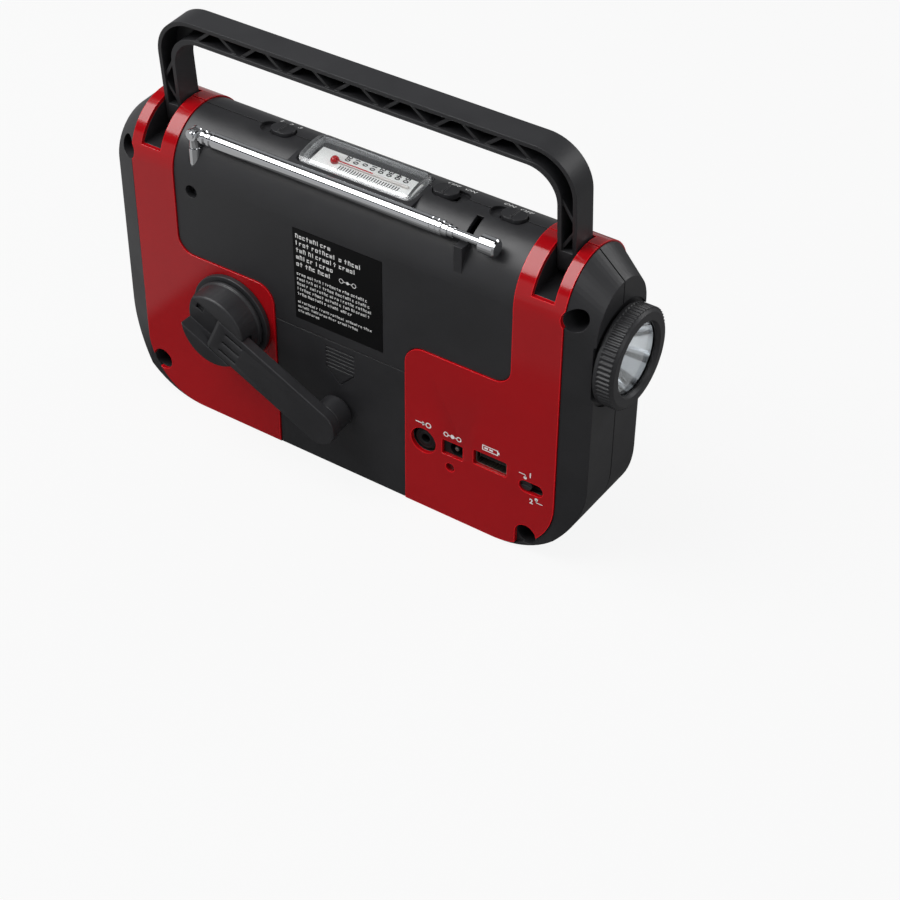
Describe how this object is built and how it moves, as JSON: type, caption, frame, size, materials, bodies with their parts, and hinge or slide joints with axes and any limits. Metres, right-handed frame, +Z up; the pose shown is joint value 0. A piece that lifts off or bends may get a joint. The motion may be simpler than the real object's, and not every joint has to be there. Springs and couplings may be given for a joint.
{
  "type": "hand crank emergency radio",
  "caption": "Portable emergency radio with folding crank generator, carrying handle, telescopic antenna, end lamp, thermometer and rear sockets.",
  "frame": {"origin": "middle of the flat base, on the surface that the radio stands on", "axes": "+Z up, +X along the case towards the lamp, -Y out of the rear face that carries the crank"},
  "size_m": [0.2179, 0.0643, 0.1628],
  "materials": {
    "black_abs": "fine spark texture",
    "red_abs": "polished moulding",
    "chrome_plate": "bright plating",
    "steel": "plain",
    "black_screw": "black oxide",
    "label_film": "printed film",
    "clear_acrylic": "clear",
    "milky_lens": "diffusing",
    "white_card": "printed card",
    "red_glass": "tinted",
    "lamp_cream": "phosphor dome",
    "socket_black": "moulded",
    "circuit_board": "solder mask",
    "nylon": "moulded",
    "speaker_grey": "pressed frame",
    "cell_wrap": "shrink wrap"
  },
  "bodies": {
    "case": {"rear_shell": "black_abs", "front_shell": "black_abs", "rear_trim_left": "red_abs", "rear_trim_right": "red_abs", "front_trim_left": "red_abs", "front_trim_right": "red_abs", "screws": "black_screw", "rating_label": "label_film", "lamp_ring": "black_abs", "lamp_lens": "clear_acrylic", "lamp_reflector": "chrome_plate", "lamp_led": "lamp_cream", "thermometer_window": "clear_acrylic", "thermometer_card": "white_card", "thermometer_tube": "red_glass", "line_in_jack": "socket_black", "dc_jack": "socket_black", "usb_socket": "steel", "charge_led": "red_glass", "jack_board": "circuit_board", "selector_body": "socket_black", "switch_bodies": "socket_black", "main_board": "circuit_board", "dial_plate": "label_film", "tuning_capacitor": "steel", "volume_pot": "steel", "speaker": "speaker_grey", "speaker_grille": "black_abs", "lantern_lens": "milky_lens", "lantern_board": "circuit_board", "battery_contacts": "steel", "battery_cells": "cell_wrap", "rechargeable_pack": "cell_wrap", "crank_bush": "black_abs", "gear_plate": "steel", "generator": "steel"},
    "handle": {"handle": "black_abs"},
    "crank": {"crank_hub": "black_abs", "crank_shaft": "steel", "drive_gear": "nylon", "crank_hinge_pin": "steel"},
    "crank_arm": {"crank_arm": "black_abs", "grip_pin": "steel"},
    "crank_grip": {"crank_grip": "black_abs"},
    "idler": {"idler_gear": "nylon"},
    "generator_rotor": {"generator_pinion": "steel"},
    "antenna_swivel": {"antenna_base": "chrome_plate", "antenna_rivet": "chrome_plate"},
    "antenna_section_1": {"antenna_tube_1": "chrome_plate"},
    "antenna_section_2": {"antenna_tube_2": "chrome_plate"},
    "antenna_section_3": {"antenna_tube_3": "chrome_plate"},
    "antenna_section_4": {"antenna_rod": "chrome_plate"},
    "band_switch": {"band_switch": "black_abs"},
    "power_switch": {"power_switch": "black_abs"},
    "lamp_switch": {"lamp_switch": "black_abs"},
    "battery_selector": {"battery_selector": "black_abs"},
    "battery_door": {"battery_door": "black_abs"},
    "tuning_knob": {"tuning_knob": "black_abs"},
    "volume_knob": {"volume_knob": "black_abs"}
  },
  "joints": [
    {"name": "handle_fold", "type": "hinge", "parent": "case", "child": "handle", "pos_m": [0, 0, 0.118], "axis": [1, 0, 0], "range_deg": [-4, 85]},
    {"name": "crank_spin", "type": "hinge", "parent": "case", "child": "crank", "pos_m": [-0.0495, -0.0205, 0.0524], "axis": [0, -1, 0], "continuous": true},
    {"name": "idler_spin", "type": "hinge", "parent": "case", "child": "idler", "pos_m": [-0.06923, -0.012, 0.04522], "axis": [0, -1, 0], "continuous": true},
    {"name": "generator_spin", "type": "hinge", "parent": "case", "child": "generator_rotor", "pos_m": [-0.07288, -0.008, 0.0659], "axis": [0, -1, 0], "continuous": true},
    {"name": "crank_arm_fold", "type": "hinge", "parent": "crank", "child": "crank_arm", "pos_m": [-0.04769, -0.03265, 0.05154], "axis": [-0.4305, 0, -0.9026], "range_deg": [0, 180]},
    {"name": "crank_grip_spin", "type": "hinge", "parent": "crank_arm", "child": "crank_grip", "pos_m": [-0.00076, -0.026, 0.02915], "axis": [0, -1, 0], "continuous": true},
    {"name": "antenna_swivel", "type": "hinge", "parent": "case", "child": "antenna_swivel", "pos_m": [-0.066, -0.01705, 0.12378], "axis": [0, 0, -1], "range_deg": [0, 165]},
    {"name": "antenna_tilt", "type": "hinge", "parent": "antenna_swivel", "child": "antenna_section_1", "pos_m": [-0.066, -0.01705, 0.12378], "axis": [0, -1, 0], "range_deg": [0, 90]},
    {"name": "antenna_slide_1", "type": "slide", "parent": "antenna_section_1", "child": "antenna_section_2", "axis": [1, 0, 0], "range_m": [0, 0.084]},
    {"name": "antenna_slide_2", "type": "slide", "parent": "antenna_section_2", "child": "antenna_section_3", "axis": [1, 0, 0], "range_m": [0, 0.084]},
    {"name": "antenna_slide_3", "type": "slide", "parent": "antenna_section_3", "child": "antenna_section_4", "axis": [1, 0, 0], "range_m": [0, 0.084]},
    {"name": "band_switch_slide", "type": "slide", "parent": "case", "child": "band_switch", "axis": [1, 0, 0], "range_m": [-0.0042, 0]},
    {"name": "power_switch_slide", "type": "slide", "parent": "case", "child": "power_switch", "axis": [1, 0, 0], "range_m": [0, 0.0042]},
    {"name": "lamp_switch_slide", "type": "slide", "parent": "case", "child": "lamp_switch", "axis": [1, 0, 0], "range_m": [-0.0042, 0]},
    {"name": "battery_selector_slide", "type": "slide", "parent": "case", "child": "battery_selector", "axis": [1, 0, 0], "range_m": [0, 0.005]},
    {"name": "battery_door_slide", "type": "slide", "parent": "case", "child": "battery_door", "axis": [0, 0, -1], "range_m": [0, 0.045]},
    {"name": "tuning_turn", "type": "hinge", "parent": "case", "child": "tuning_knob", "pos_m": [0.038, 0.024, 0.076], "axis": [0, -1, 0], "range_deg": [-135, 135]},
    {"name": "volume_turn", "type": "hinge", "parent": "case", "child": "volume_knob", "pos_m": [0.062, 0.024, 0.042], "axis": [0, -1, 0], "range_deg": [-135, 135]}
  ],
  "couplings": [
    {"joint": "idler_spin", "follows": "crank_spin", "ratio": -3},
    {"joint": "generator_spin", "follows": "crank_spin", "ratio": 9}
  ]
}
